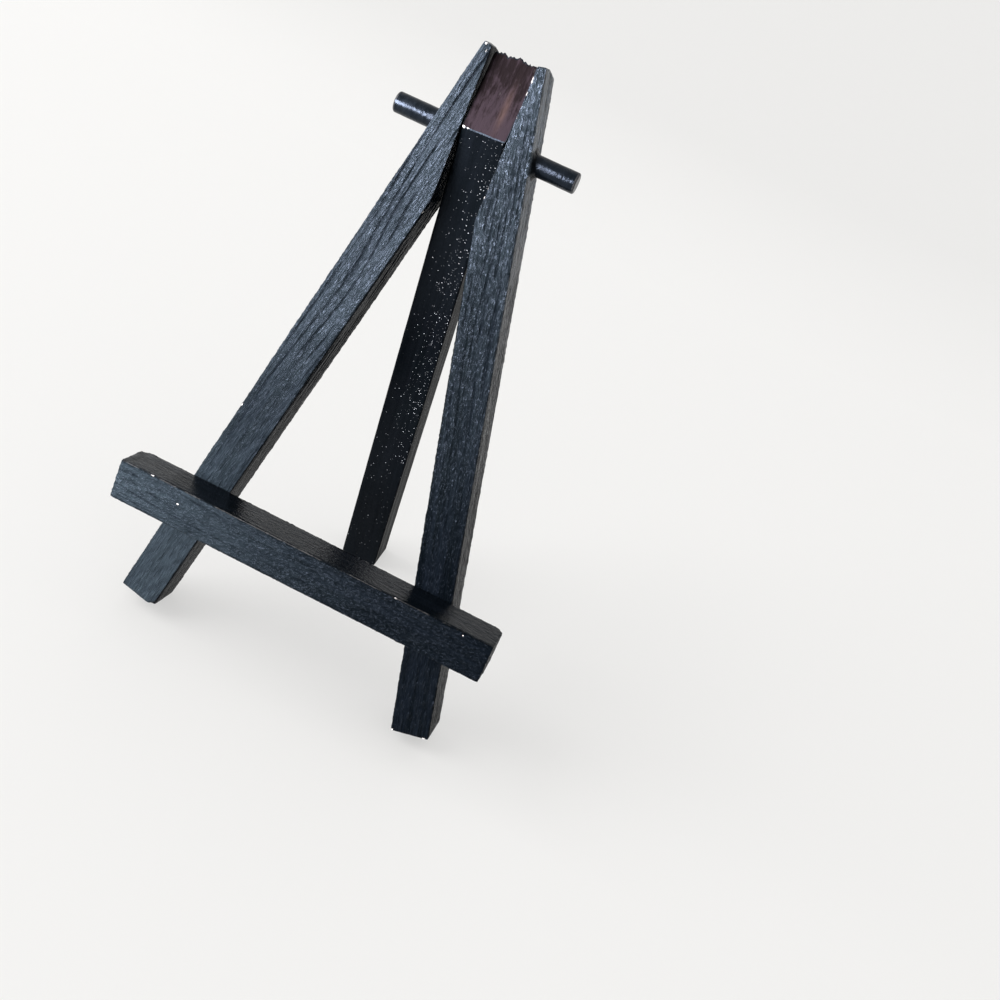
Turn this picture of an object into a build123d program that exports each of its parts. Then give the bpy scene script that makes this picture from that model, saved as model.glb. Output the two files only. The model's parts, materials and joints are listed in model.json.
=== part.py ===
"""Small tabletop easel of square wooden sticks, in millimetres.

Two front legs meet in a narrow A, with a ledge nailed across them. A back leg turns on a dowel
that passes through the tops of all three legs. Everything is laid out in the plane of the front
faces, which leans back, and then the whole easel is set on the floor.

Frame plane: u to the right, v up along the lean, w out of the front faces. The middle line is u = 0,
and v = 0 is level with the inner corners of the front feet.
"""

import os
from math import cos, radians, sin, tan

from build123d import *

# ---------------------------------------------------------------- front frame
FRAME_LEAN = 20.0          # degrees, front faces back from upright
LEG_SPLAY = 13.3           # degrees, each front leg away from the middle line
LEG_LENGTH = 160.7         # along a front leg's outer edge
LEG_WIDTH = 10.0           # across a front leg's face
LEG_DEPTH = 11.0           # front to back
LEG_TIP = 1.92             # width that the taper leaves at a front leg's top corner

# ---------------------------------------------------------------- ledge and its brads
LEDGE_LENGTH = 99.8
LEDGE_HEIGHT = 10.2
LEDGE_DEPTH = 11.0
LEDGE_RISE = 28.5          # from the feet up to the ledge's lower edge, along the lean
BRAD_DIAMETER = 1.2
BRAD_BITE = 7.5            # how far a brad's end goes into a front leg
BRAD_HEAD_DIAMETER = 2.0
BRAD_HEAD_THICKNESS = 0.6
BRAD_SET_DEPTH = 0.5       # head driven below the ledge's face

# ---------------------------------------------------------------- hinge dowel
DOWEL_DIAMETER = 4.8
DOWEL_LENGTH = 44.4
DOWEL_DROP = 19.37         # dowel's middle below the front legs' top corners, along the lean
DOWEL_CHAMFER = 0.4

# ---------------------------------------------------------------- back leg
BACK_LEG_WIDTH = 10.4
BACK_LEG_DEPTH = 8.6
BACK_LEG_OPENING = 22.0    # degrees, open from the front frame as the easel stands
MITRE_ANGLE = 32.0         # degrees, sloping top face away from the back leg's length
MITRE_SKEW = 3.0           # degrees, saw a little off square across the back leg
MITRE_WALL = 3.0           # wood left between the hinge hole and the sloping face

# ---------------------------------------------------------------- shared values
EDGE_RADIUS = 0.45         # eased long edges of every stick
HINGE_CLEARANCE = 0.05     # radial, hinge hole in the back leg over the dowel
SIDE_CLEARANCE = 0.15      # each side of the back leg, to the tapers of the front legs

# ---------------------------------------------------------------- derived
SPLAY_SIN = sin(radians(LEG_SPLAY))
SPLAY_COS = cos(radians(LEG_SPLAY))
TAPER_HALF_GAP = BACK_LEG_WIDTH / 2 + SIDE_CLEARANCE
FOOT_HALF_SPREAD = TAPER_HALF_GAP + LEG_TIP + LEG_LENGTH * SPLAY_SIN - LEG_WIDTH * SPLAY_COS
DOWEL_RISE = LEG_WIDTH * SPLAY_SIN + LEG_LENGTH * SPLAY_COS - DOWEL_DROP
DOWEL_DEPTH = LEG_DEPTH / 2
LEDGE_MIDDLE = LEDGE_RISE + LEDGE_HEIGHT / 2
FRAME_PLANE = Plane(
    origin=(0, 0, 0),
    x_dir=(1, 0, 0),
    z_dir=(0, -cos(radians(FRAME_LEAN)), sin(radians(FRAME_LEAN))),
)
HINGE_CENTRE = FRAME_PLANE.from_local_coords(Vector(0, DOWEL_RISE, -DOWEL_DEPTH))


def stick(width, depth, length):
    """Square stick with eased long edges, standing on the XY plane and centred on Z."""
    section = RectangleRounded(width, depth, EDGE_RADIUS)
    return extrude(section, amount=length)


def leg_middle(rise):
    """Distance of a front leg's centre line from the middle line, at a rise up the lean."""
    return FOOT_HALF_SPREAD + (LEG_WIDTH / 2 - rise * SPLAY_SIN) / SPLAY_COS


def dowel_solid(diameter, length):
    """Rod along X, centred on the hinge, in frame plane coordinates."""
    rod = Rotation(0, 90, 0) * Cylinder(diameter / 2, length)
    return Pos(0, DOWEL_RISE, -DOWEL_DEPTH) * rod


def brad_shank(start, end, diameter):
    """Round bar along W at the right front leg's crossing with the ledge, between two depths."""
    bar = Cylinder(diameter / 2, start - end, align=(Align.CENTER, Align.CENTER, Align.MAX))
    return Pos(leg_middle(LEDGE_MIDDLE), LEDGE_MIDDLE, start) * bar


def right_brad():
    """Headed nail, driven in from the front, with its head below the ledge's face."""
    head_top = LEDGE_DEPTH - BRAD_SET_DEPTH
    shank = brad_shank(head_top, -BRAD_BITE, BRAD_DIAMETER)
    head = brad_shank(head_top, head_top - BRAD_HEAD_THICKNESS, BRAD_HEAD_DIAMETER)
    return shank + head


def right_brad_hole():
    """What a brad takes out of the ledge and the leg, with the open dimple over its head."""
    head_top = LEDGE_DEPTH - BRAD_SET_DEPTH
    shank = brad_shank(head_top, -BRAD_BITE, BRAD_DIAMETER)
    dimple = brad_shank(LEDGE_DEPTH, head_top - BRAD_HEAD_THICKNESS, BRAD_HEAD_DIAMETER)
    return shank + dimple


def right_front_leg():
    """Splayed stick, cut flat at the top so that it lies along the back leg's side."""
    across = Vector(SPLAY_COS, SPLAY_SIN, 0)
    along = Vector(-SPLAY_SIN, SPLAY_COS, 0)
    foot = Vector(FOOT_HALF_SPREAD, 0, -LEG_DEPTH / 2) + across * (LEG_WIDTH / 2)
    leg = Plane(origin=foot, x_dir=across, z_dir=along).location * stick(
        LEG_WIDTH, LEG_DEPTH, LEG_LENGTH
    )
    leg = split(leg, bisect_by=Plane.YZ.offset(TAPER_HALF_GAP), keep=Keep.TOP)
    return leg - dowel_solid(DOWEL_DIAMETER, DOWEL_LENGTH) - right_brad_hole()


def ledge_stick():
    """Stick along X on the front faces, with a hole for each brad."""
    bar = Rotation(0, 90, 0) * stick(LEDGE_DEPTH, LEDGE_HEIGHT, LEDGE_LENGTH)
    bar = Pos(-LEDGE_LENGTH / 2, LEDGE_MIDDLE, LEDGE_DEPTH / 2) * bar
    hole = right_brad_hole()
    return bar - hole - mirror(hole, about=Plane.YZ)


def hinge_dowel():
    """Round rod with broken edges at both ends."""
    rod = dowel_solid(DOWEL_DIAMETER, DOWEL_LENGTH)
    ends = rod.edges().filter_by(GeomType.CIRCLE)
    return chamfer(ends, DOWEL_CHAMFER)


def back_leg(floor_height):
    """Stick on the hinge that reaches down to the floor, with a sloping face at its top."""
    tilt = radians(BACK_LEG_OPENING - FRAME_LEAN)
    up = Vector(0, -sin(tilt), cos(tilt))
    seat = Plane(origin=HINGE_CENTRE, x_dir=(1, 0, 0), z_dir=up)
    toe_drop = BACK_LEG_DEPTH / 2 * abs(sin(tilt))
    reach = (HINGE_CENTRE.Z - floor_height - toe_drop) / cos(tilt)

    hole_radius = DOWEL_DIAMETER / 2 + HINGE_CLEARANCE
    slope = radians(MITRE_ANGLE)
    skew = radians(MITRE_SKEW)
    face_normal = Vector(-sin(slope) * sin(skew), -cos(slope), sin(slope) * cos(skew))
    face_centre = face_normal * (hole_radius + MITRE_WALL)
    mitre = Plane(origin=face_centre, z_dir=face_normal)
    head_room = (BACK_LEG_DEPTH / 2 + hole_radius + MITRE_WALL) / tan(slope) + BACK_LEG_WIDTH

    leg = Pos(0, 0, -reach) * stick(BACK_LEG_WIDTH, BACK_LEG_DEPTH, reach + head_room)
    leg = split(leg, bisect_by=mitre, keep=Keep.BOTTOM)
    leg = leg - Rotation(0, 90, 0) * Cylinder(hole_radius, BACK_LEG_WIDTH)
    return seat.location * leg


def easel():
    """Every sub-part by name, standing on the floor with the origin under the middle."""
    right_leg = right_front_leg()
    right_nail = right_brad()
    frame_parts = {
        "left_front_leg": mirror(right_leg, about=Plane.YZ),
        "right_front_leg": right_leg,
        "ledge": ledge_stick(),
        "hinge_dowel": hinge_dowel(),
        "left_ledge_brad": mirror(right_nail, about=Plane.YZ),
        "right_ledge_brad": right_nail,
    }
    parts = {name: FRAME_PLANE.location * part for name, part in frame_parts.items()}
    floor_height = parts["right_front_leg"].bounding_box().min.Z
    parts["back_leg"] = back_leg(floor_height)

    boxes = [part.bounding_box() for part in parts.values()]
    middle_y = (min(box.min.Y for box in boxes) + max(box.max.Y for box in boxes)) / 2
    to_origin = Pos(0, -middle_y, -floor_height)
    print("hinge centre", [round(value, 4) for value in (to_origin * Pos(HINGE_CENTRE)).position])
    return {name: to_origin * part for name, part in parts.items()}


os.makedirs("parts", exist_ok=True)
for node, shape in easel().items():
    export_step(shape, f"parts/{node}.step")
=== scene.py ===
"""Looks of a small black-painted tabletop easel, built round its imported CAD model.

Laid out as a Blender add-on and run as a script. Shapes are worked out in millimetres as whole
numpy arrays and are put into the meshes in metres, in the CAD model's frame.
"""

import json
import math
from itertools import product

import bpy
import numpy as np
from mathutils import Matrix, Vector


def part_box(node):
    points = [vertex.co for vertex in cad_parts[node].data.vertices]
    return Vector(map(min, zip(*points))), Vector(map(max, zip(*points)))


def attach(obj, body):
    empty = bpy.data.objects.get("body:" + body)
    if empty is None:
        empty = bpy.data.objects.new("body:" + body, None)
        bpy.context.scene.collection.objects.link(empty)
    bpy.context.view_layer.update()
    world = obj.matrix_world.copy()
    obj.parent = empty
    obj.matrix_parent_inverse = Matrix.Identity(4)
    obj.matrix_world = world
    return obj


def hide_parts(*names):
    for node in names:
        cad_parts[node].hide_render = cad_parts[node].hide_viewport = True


bl_info = {
    "name": "Painted tabletop easel",
    "version": (1, 0, 0),
    "blender": (4, 5, 0),
    "location": "3D View > Sidebar > Easel",
    "description": "Builds the painted wooden sticks, dowel and studio of a tabletop easel",
    "category": "Object",
}

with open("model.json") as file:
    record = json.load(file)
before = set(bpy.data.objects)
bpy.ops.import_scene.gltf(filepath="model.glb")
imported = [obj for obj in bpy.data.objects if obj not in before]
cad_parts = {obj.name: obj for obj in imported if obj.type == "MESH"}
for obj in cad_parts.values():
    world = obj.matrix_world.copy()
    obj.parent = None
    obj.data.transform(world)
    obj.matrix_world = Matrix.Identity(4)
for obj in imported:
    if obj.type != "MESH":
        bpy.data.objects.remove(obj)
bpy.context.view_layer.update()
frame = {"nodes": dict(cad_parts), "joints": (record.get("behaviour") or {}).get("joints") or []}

MM = 0.001
HINGE = np.array(frame["joints"][0]["pos_m"], float) / MM
LEDGE_LOW, LEDGE_HIGH = (np.array(corner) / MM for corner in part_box("ledge"))
DOWEL_LOW, DOWEL_HIGH = (np.array(corner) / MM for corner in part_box("hinge_dowel"))
DOWEL_RADIUS = (DOWEL_HIGH[2] - DOWEL_LOW[2]) / 2
BACK_LOW, BACK_HIGH = (np.array(corner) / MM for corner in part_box("back_leg"))


# ---------------------------------------------------------------- settings
def length_setting(label, about, millimetres):
    return bpy.props.FloatProperty(
        name=label, description=about, default=millimetres * MM, unit="LENGTH", precision=5
    )


def angle_setting(label, about, degrees):
    return bpy.props.FloatProperty(
        name=label,
        description=about,
        default=math.radians(degrees),
        subtype="ANGLE",
        unit="ROTATION",
    )


def colour_setting(label, about, colour):
    return bpy.props.FloatVectorProperty(
        name=label, description=about, default=colour, size=3, min=0, max=1, subtype="COLOR"
    )


def amount_setting(label, about, amount):
    return bpy.props.FloatProperty(name=label, description=about, default=amount, min=0)


class EaselSizes(bpy.types.PropertyGroup):
    """Sizes of the sticks, as the CAD model has them."""

    lean: angle_setting("Lean", "Front faces back from upright", 20)
    splay: angle_setting("Splay", "Each front leg away from the middle line", 13.3)
    leg_length: length_setting("Leg length", "Along a front leg's outer edge", 160.7)
    leg_width: length_setting("Leg width", "Across a front leg's face", 10)
    leg_depth: length_setting("Leg depth", "Front to back of a front leg", 11)
    leg_tip: length_setting("Leg tip", "Width left at a front leg's top corner", 1.92)
    leg_gap: length_setting("Half gap", "From the middle line to a front leg's taper", 5.35)
    dowel_drop: length_setting("Dowel drop", "Dowel's middle below the top corners", 19.37)
    ledge_height: length_setting("Ledge height", "Across the ledge's front face", 10.2)
    ledge_depth: length_setting("Ledge depth", "Front to back of the ledge", 11)
    back_depth: length_setting("Back leg depth", "Front to back of the back leg", 8.6)
    back_tilt: angle_setting("Back leg tilt", "Back leg away from upright", 2)
    mitre: angle_setting("Mitre", "Sloping top face away from the back leg's length", 32)
    mitre_skew: angle_setting("Mitre skew", "Saw off square across the back leg", 3)
    mitre_reach: length_setting("Mitre reach", "From the hinge to the sloping face", 5.45)
    hinge_hole: length_setting("Hinge hole", "Radius of the back leg's hole", 2.45)
    edge: length_setting("Eased edge", "Radius of the long edges", 0.45)


class EaselFinish(bpy.types.PropertyGroup):
    """Colours of the paint and of what shows through it."""

    paint: colour_setting("Paint", "Thick black paint", (0.0008, 0.0014, 0.0020))
    haze: colour_setting("Haze", "Thin or rubbed paint", (0.0040, 0.0058, 0.0090))
    # Slaty colour: thin paint, and also painted sheen where light falls on front faces and crests.
    slate: colour_setting("Slate", "Thinnest paint, over crests", (0.018, 0.0255, 0.031))
    chip: colour_setting("Chip", "Bare wood and filler in a chip", (0.62, 0.60, 0.57))
    end_grain: colour_setting("End grain", "Thin paint on the sawn slope", (0.0165, 0.0118, 0.0150))
    end_grain_dark: colour_setting("Dark end grain", "Paint soaked in", (0.0030, 0.0019, 0.0021))
    end_grain_rubbed: colour_setting("Rubbed end grain", "Brown wood shows through", (0.050, 0.031, 0.026))
    dust: colour_setting("Dust", "Pale dust on the back leg", (0.58, 0.62, 0.65))


class EaselStudio(bpy.types.PropertyGroup):
    """Camera, floor and light."""

    place: bpy.props.FloatVectorProperty(
        name="Camera place",
        description="Where the camera stands",
        default=(0.06217, -0.22456, 0.24430),
        size=3,
        subtype="TRANSLATION",
        unit="LENGTH",
        precision=5,
    )
    heading: angle_setting("Heading", "Camera turned left of straight ahead", 6.9527)
    pitch: angle_setting("Pitch", "Camera looking down", 39.1367)
    roll: angle_setting("Roll", "Camera turned about its own axis", 21.8113)
    lens: amount_setting("Lens", "Focal length in millimetres on a 36 mm sensor", 43.397)
    floor: colour_setting("Floor", "Pale matte floor and backdrop", (0.36, 0.36, 0.358))


# ---------------------------------------------------------------- numbers over a surface
def value_noise(place, seed):
    """Smooth noise from 0 to 1. Each whole-number corner of space gets a fixed value from its
    hashed coordinates, and a point mixes its eight corners with the weight 3t^2 - 2t^3."""
    place = np.asarray(place, float)
    cell = np.floor(place).astype(np.int64)
    share = place - cell
    share = share * share * (3 - 2 * share)
    total = np.zeros(place.shape[:-1])
    for corner in product((0, 1), repeat=3):
        x, y, z = np.moveaxis(cell + np.array(corner), -1, 0)
        mixed = (x * 73856093) ^ (y * 19349663) ^ (z * 83492791) ^ (seed * 40503)
        mixed = ((mixed ^ (mixed >> 13)) * 1274126177) & 0xFFFFFFFF
        mixed = ((mixed ^ (mixed >> 15)) * 668265263) & 0xFFFFFFFF
        value = ((mixed ^ (mixed >> 16)) & 0xFFFF) / 65535
        total += value * np.where(np.array(corner) == 1, share, 1 - share).prod(axis=-1)
    return total


def layered_noise(place, seed, layers=3):
    """Sum of value noise layers, each twice as fine and half as strong, scaled back to 0 to 1."""
    total = sum(value_noise(place * 2.0**k, seed + k) * 0.5**k for k in range(layers))
    return total / sum(0.5**k for k in range(layers))


def smooth(low, high, value):
    """0 below low, 1 above high, and 3t^2 - 2t^3 between them."""
    share = np.clip((value - low) / (high - low), 0, 1)
    return share * share * (3 - 2 * share)


# ---------------------------------------------------------------- sticks as grids
def section_plan(front, side, corner):
    """Columns round a rounded rectangle, front side first. For each column: the corner it leaves,
    the corner it goes to, its share of the way, and the angle that it faces."""
    plan = []
    for turn in range(4):
        count = side if turn % 2 else front
        ahead = math.pi / 2 * (1 - turn)
        after = (turn + 1) % 4
        plan += [(turn, after, k / count, ahead) for k in range(count)]
        plan += [(after, after, 0, ahead - math.pi / 2 * k / corner) for k in range(corner)]
    start, end, share, angle = np.array(plan).T
    return start.astype(int), end.astype(int), share, angle


def stick_grid(plan, length, stations, low, high, half_depth, radii, rim, rings):
    """Grid of a closed stick, rows along it and columns round it, in (across, front, along).

    A row's section runs from low to high across and half_depth each way. Its columns are the
    corner centres mixed by share, plus the corner radius in the direction faced. At each end, rows
    go round a quarter circle of radius rim and then shrink towards the section's middle.
    Gives the points, the way each faces, and a mask that is 1 on the long edges."""
    start, end, share, angle = plan
    inward = np.linspace(0, math.pi / 2, 4)
    cap = np.linspace(0.03, 1, rings, endpoint=False)
    rise, draw_in = rim * (1 - np.cos(inward)), rim * (1 - np.sin(inward))
    along = np.concatenate([0 * cap, rise, stations, length - rise[::-1], 0 * cap + length])
    middle = np.ones(len(stations))
    inset = np.concatenate([0 * cap + rim, draw_in, 0 * middle, draw_in[::-1], 0 * cap + rim])
    shrink = np.concatenate([cap, 0 * inward + 1, middle, 0 * inward + 1, cap[::-1]])
    ends = np.concatenate([0 * cap - 1, -np.cos(inward), 0 * middle, np.cos(inward[::-1]), 0 * cap + 1])

    lo, hi = low(along), high(along)
    radius_low, radius_high = radii(along)
    radius = np.stack([radius_low, radius_high, radius_high, radius_low], 1)
    across = np.stack([lo + radius_low, hi - radius_high, hi - radius_high, lo + radius_low], 1)
    front = np.stack([half_depth - radius[:, 0], half_depth - radius[:, 1]], 1)
    front = np.concatenate([front, -front[:, ::-1]], 1)

    def mixed(corners):
        return corners[:, start] * (1 - share) + corners[:, end] * share

    reach = mixed(radius) - inset[:, None]
    a = mixed(across) + reach * np.cos(angle)
    b = mixed(front) + reach * np.sin(angle)
    centre = ((lo + hi) / 2)[:, None]
    a = centre + (a - centre) * shrink[:, None]
    b = b * shrink[:, None]
    points = np.stack([a, b, np.broadcast_to(along[:, None], a.shape)], -1)

    level = np.sqrt(1 - ends**2)[:, None]
    facing = np.stack(
        [np.cos(angle) * level, np.sin(angle) * level, np.broadcast_to(ends[:, None], a.shape)], -1
    )
    from_corner = np.minimum(
        np.minimum(a - lo[:, None], hi[:, None] - a) + 9 * (abs(np.cos(angle)) > 0.5),
        (half_depth - abs(b)) + 9 * (abs(np.sin(angle)) > 0.5),
    )
    edge = (1 - smooth(0.0, 0.9, from_corner)) * (abs(ends) < 0.9)[:, None]
    return points, facing, edge


def even_stick(plan, size, radius, stations, rim, rings):
    """Grid of a straight stick of the given (across, front, along) size and edge radius."""
    half = size[0] / 2
    return stick_grid(
        plan, size[2], stations, lambda s: 0 * s - half, lambda s: 0 * s + half,
        size[1] / 2, lambda s: (0 * s + radius, 0 * s + radius), rim, rings,
    )


def place_in(points, origin, axes):
    """Local (across, front, along) points in the row frame: origin plus each axis by its share."""
    return points @ np.array(axes, float) + np.array(origin, float)


def lean_axes(sizes, hand):
    """World directions of right (or left, for hand -1), out of the front faces, and up the lean."""
    sin, cos = math.sin(sizes.lean), math.cos(sizes.lean)
    return [(hand, 0, 0), (0, -cos, sin), (0, sin, cos)]


def grid_ids(grid):
    """Number of each vertex of a grid of points."""
    return np.arange(grid[..., 0].size).reshape(grid.shape[:2])


def quads_between(ids, beside):
    """Faces between each row and the next, and between each column and the one beside it."""
    return np.stack([ids[:-1], beside[:-1], beside[1:], ids[1:]], -1)


def loop_round(ids, rows, columns):
    """Numbers of the vertices round a block of a grid, in the order that its faces run."""
    (r0, r1), (c0, c1) = rows, columns
    return np.concatenate(
        [ids[r0, c0:c1], ids[r0:r1, c1], ids[r1, c1:c0:-1], ids[r1:r0:-1, c0]]
    )


def bored(grid, block_a, block_b, radius, axes, level_a, level_b):
    """A round hole along the first axis between two blocks of a grid on opposite sides, each block
    its rows and its columns. The grid's points are measured from the hinge.

    Loops go from block A's outline to a circle on its face, along the cylinder, and out from the
    circle on the other face to block B's outline. A circle's point has its outline point's angle.
    Gives both blocks, both outlines, and the loops set in place."""
    ids = grid_ids(grid)
    end = ids.shape[1] - 1
    first = loop_round(ids, *block_a)
    last = loop_round(ids[:, ::-1], block_b[0], (end - block_b[1][1], end - block_b[1][0]))
    points = grid.reshape(-1, 3)
    outline_a, outline_b = points[first], points[last]
    turn_a = np.unwrap(np.arctan2(outline_a[:, 2], outline_a[:, 1]))
    turn_b = np.unwrap(np.arctan2(outline_b[:, 2], outline_b[:, 1]))
    turn_b += 2 * math.pi * round((turn_a.mean() - turn_b.mean()) / (2 * math.pi))

    def circle(turn, level):
        y, z = radius * np.cos(turn), radius * np.sin(turn)
        return np.stack([level(z), y, z], 1)

    ring_a, ring_b = circle(turn_a, level_a), circle(turn_b, level_b)
    loops = [outline_a + (ring_a - outline_a) * k for k in (0.35, 0.7, 1.0)]
    for k in np.linspace(0, 1, 8)[1:-1]:
        wall = circle(turn_a + (turn_b - turn_a) * k, level_a)
        wall[:, 0] = ring_a[:, 0] + (ring_b[:, 0] - ring_a[:, 0]) * k
        loops.append(wall)
    loops += [ring_b + (outline_b - ring_b) * k for k in (0.0, 0.3, 0.65)]
    return block_a, block_b, first, last, place_in(np.array(loops), HINGE, axes)


def finished_mesh(name, points, faces, attributes, marks=None):
    """Mesh object at the origin with smooth faces that point outwards, from points in mm."""
    a, b, c = (points[faces[:, k]] for k in (0, 1, 2))
    d = points[faces[:, 3]]
    volume = (a * np.cross(b, c)).sum() + (a * np.cross(c, d)).sum()
    if volume < 0:
        faces = faces[:, ::-1]
    mesh = bpy.data.meshes.new(name)
    corners = [list(dict.fromkeys(face)) for face in faces.tolist()]
    mesh.from_pydata((points * MM).tolist(), [], corners)
    mesh.polygons.foreach_set("use_smooth", np.ones(len(corners), bool))
    if marks is not None:
        mesh.polygons.foreach_set("material_index", marks.astype(np.int32))
    for label, values in attributes.items():
        flat = values.ndim == 1
        made = mesh.attributes.new(label, "FLOAT" if flat else "FLOAT_VECTOR", "POINT")
        made.data.foreach_set("value" if flat else "vector", values.astype(np.float32).ravel())
    mesh.update()
    piece = bpy.data.objects.new(name, mesh)
    bpy.context.scene.collection.objects.link(piece)
    return piece


def closed_skin(name, grid, attributes, bore=None, sawn_row=None):
    """Closed mesh of a grid whose columns go all the way round: quads between rows, a pole vertex
    at each end, and blocks of quads given up where a bore's loops take over. Faces from sawn_row
    to the top pole get the second material."""
    ids = grid_ids(grid)
    after = np.roll(ids, -1, 1)
    quads = quads_between(ids, after)
    keep = np.ones(quads.shape[:2], bool)
    points = [grid.reshape(-1, 3), grid[0].mean(0)[None], grid[-1].mean(0)[None]]
    source = [ids.ravel(), ids[0, :1], ids[-1, :1]]
    foot, top = ids[0] * 0 + ids.size, ids[0] * 0 + ids.size + 1
    walls = np.zeros((0, 4), int)
    if bore:
        *blocks, first, last, loops = bore
        for (row, row_end), (column, column_end) in blocks:
            keep[row:row_end, column:column_end] = False
        chain = np.concatenate([first[None], ids.size + 2 + grid_ids(loops), last[None]])
        walls = quads_between(chain, np.roll(chain, -1, 1)).reshape(-1, 4)
        points.append(loops.reshape(-1, 3))
        half = len(loops) // 2
        source += [np.tile(first, half), np.tile(last, len(loops) - half)]
    foot_fan = np.stack([after[0], ids[0], foot, foot], -1)
    top_fan = np.stack([ids[-1], after[-1], top, top], -1)
    faces = np.concatenate([quads[keep], foot_fan, top_fan, walls])
    sawn_row = len(grid) if sawn_row is None else sawn_row
    sawn = np.broadcast_to((np.arange(len(grid) - 1) >= sawn_row)[:, None], keep.shape)
    marks = [sawn[keep], foot * 0, foot * 0 + (sawn_row < len(grid)), walls[:, 0] * 0]
    source = np.concatenate(source)
    spread = {k: v.reshape((ids.size,) + v.shape[2:])[source] for k, v in attributes.items()}
    return finished_mesh(name, np.concatenate(points), faces, spread, np.concatenate(marks))


# ---------------------------------------------------------------- paint in relief
def wood_under_paint(place, facing, seed, ridges, spacing, peel):
    """Height of painted wood in mm. Grooves run along the stick wherever the way round it, bent
    by slow noise, is a whole number of spacings, and they come and go. Peel is rounded noise as
    coarse as thick brushed paint."""
    bend = layered_noise(place / (7, 7, 34), seed + 7, 2)
    lane = (place[..., 0] + place[..., 1]) / spacing + 2.4 * bend
    off_lane = abs(lane - np.round(lane)) * spacing
    present = smooth(0.38, 0.66, value_noise(place / (1.6, 1.6, 12), seed))
    groove = (1 - smooth(0.0, 0.42, off_lane)) * present
    fine = value_noise(place * (1.7, 1.7, 0.05), seed + 3)
    bumps = layered_noise(place * (1.3, 1.3, 0.6), seed + 11, 2) - 0.5
    swell = layered_noise(place * (0.16, 0.16, 0.05), seed + 19, 2) - 0.5
    level = abs(facing[..., 2]) < 0.7
    return (ridges * (fine * 0.5 - groove) + peel * bumps + 0.10 * swell) * level


def edge_nicks(place, edge, seed, depth):
    """Height in mm of small dents and missing splinters, only along the eased edges."""
    coarse = smooth(0.60, 0.78, layered_noise(place * (0.5, 0.5, 0.36), seed + 31, 2))
    small = smooth(0.55, 0.80, layered_noise(place * 1.3, seed + 37, 2))
    fuzz = value_noise(place * (1.8, 1.8, 2.3), seed + 41) - 0.55
    return -depth * edge * (0.75 * coarse + 0.4 * small - 1.0 * fuzz)


def blobs(place, spots):
    """Largest of several bell shapes. Each spot has a middle and a reach along each axis."""
    total = np.zeros(place.shape[:-1])
    for middle, reach in spots:
        away = (((place - np.array(middle)) / np.array(reach)) ** 2).sum(-1)
        total = np.maximum(total, np.exp(-away))
    return total


# Defaults of the marks; slaty colour and specular level are set by place later, as painted sheen and
# painted shade.
MARKS = dict(chips=0.0, slate=0.0, dusty=0.3, satin=1.0, calm=0.0)
CREST_SPAN = 0.24          # mm of relief from the deepest to the highest paint


def surface_marks(place, seed, edge, relief=0.0, **marks):
    """Values that the paint reads, one for each vertex: a place in mm that differs from piece to
    piece, the edge mask, chips, how far a crest stands up, thin slaty paint together with painted
    sheen, dust, how much the paint shines, set by place as painted sheen and painted shade, and
    how calm its finest texture is."""
    like = np.zeros(place.shape[:-1])
    crest = np.clip(0.5 + relief / CREST_SPAN + like, 0, 1)
    values = {"edge": edge, "crest": crest, **MARKS, **marks}
    return {"stick_mm": place + seed * 10.0, **{name: like + v for name, v in values.items()}}


def block_between(values, low, high):
    """First and last index whose value lies between low and high."""
    inside = np.nonzero((values >= low) & (values <= high))[0]
    return int(inside[0]), int(inside[-1])


FAR_OFF = 99               # mm, stands for columns and rows that can't be part of a block


def side_blocks(plan, points, reach):
    """Columns within reach of the middle of the far side and of the near side of a stick."""
    start, end, _, _ = plan
    front_of = points[len(points) // 2, :, 1]
    return [
        block_between(np.where((start == a) & (end == b), front_of, FAR_OFF), -reach, reach)
        for a, b in ((1, 2), (3, 0))
    ]


LEG_PLAN = section_plan(52, 28, 4)
LEDGE_CROSSING = 31.7      # mm from the ledge's middle to where a front leg's middle crosses it
BORE_BLOCK = 3.4           # mm each way from the dowel that a front leg's grid gives up to the bore
HINGE_BLOCK = 3.3          # mm each way, front and back, that the back leg's grid gives up
# Per leg, tables by height along it: the grain's ridges; slaty colour, thin paint together with painted
# sheen; specular level, painted sheen that grows up the leg with painted shade lower down; and the same
# two for the outer side, a painted reflection near the top of the right leg.
LEG_RELIEF = {
    "left": dict(
        seed=101, spacing=2.1, peel=0.10,
        ridge=((0, 40, 60, 90, 150), (0.02, 0.03, 0.08, 0.22, 0.27)),
        slate=((0, 35, 60, 90, 120, 160), (0.8, 0.6, 0.35, 0.5, 0.5, 0.55)),
        painted_shine_along=((0, 40, 70, 90, 120, 160), (0.8, 0.8, 1.1, 1.6, 1.5, 1.5)),
        side_painted_shine=((0, 60, 150), (-0.2, 0.0, 0.6)),
        side_slate=((0, 150), (0.0, 0.0)),
        back_slope=0.16,
    ),
    "right": dict(
        seed=205, spacing=1.5, peel=0.13,
        ridge=((0, 40, 70, 120, 150), (0.03, 0.07, 0.10, 0.12, 0.14)),
        slate=((0, 45, 70, 110, 150), (0.0, 0.0, 0.12, 0.36, 0.75)),
        painted_shine_along=((0, 45, 70, 110, 150), (0.50, 0.50, 0.85, 1.45, 3.0)),
        side_painted_shine=((0, 60, 110, 150), (-0.2, 0.0, 1.2, 9.0)),
        side_slate=((0, 110, 150), (0.0, 0.0, 0.75)),
        back_slope=0.24,
    ),
}
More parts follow.
